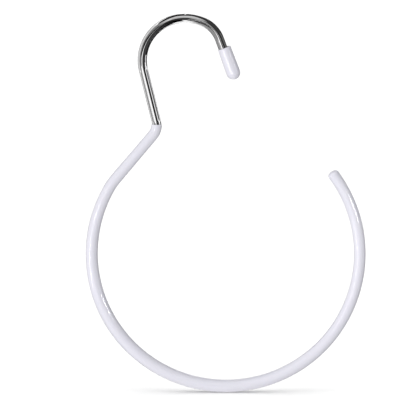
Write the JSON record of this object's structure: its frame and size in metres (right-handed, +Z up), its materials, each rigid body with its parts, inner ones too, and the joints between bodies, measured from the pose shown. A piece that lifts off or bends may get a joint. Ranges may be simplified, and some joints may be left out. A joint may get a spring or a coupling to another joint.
{
  "type": "scarf hanger",
  "caption": "Bent-wire scarf hanger: a bright plated hook with a soft tip cap, its shank leading down to an open ring dipped in white vinyl for scarves to loop through.",
  "frame": {"origin": "underside of the hook's crown, on the wire's centre plane, where the hook rests on a closet rail", "axes": "+Z up, from the ring to the hook. The whole wire is bent in the plane y = 0, and +X points from the hook's back to its tip"},
  "size_m": [0.152, 0.0076, 0.2074],
  "materials": {
    "plated_wire": "bright plated steel wire, smooth drawn surface",
    "white_dip_vinyl": "soft white dip-coated vinyl, smooth and glossy",
    "white_cap_vinyl": "soft white moulded vinyl, smooth and glossy"
  },
  "bodies": {
    "root": {"wire": "plated_wire", "ring_coating": "white_dip_vinyl", "hook_tip_cap": "white_cap_vinyl"}
  },
  "joints": []
}
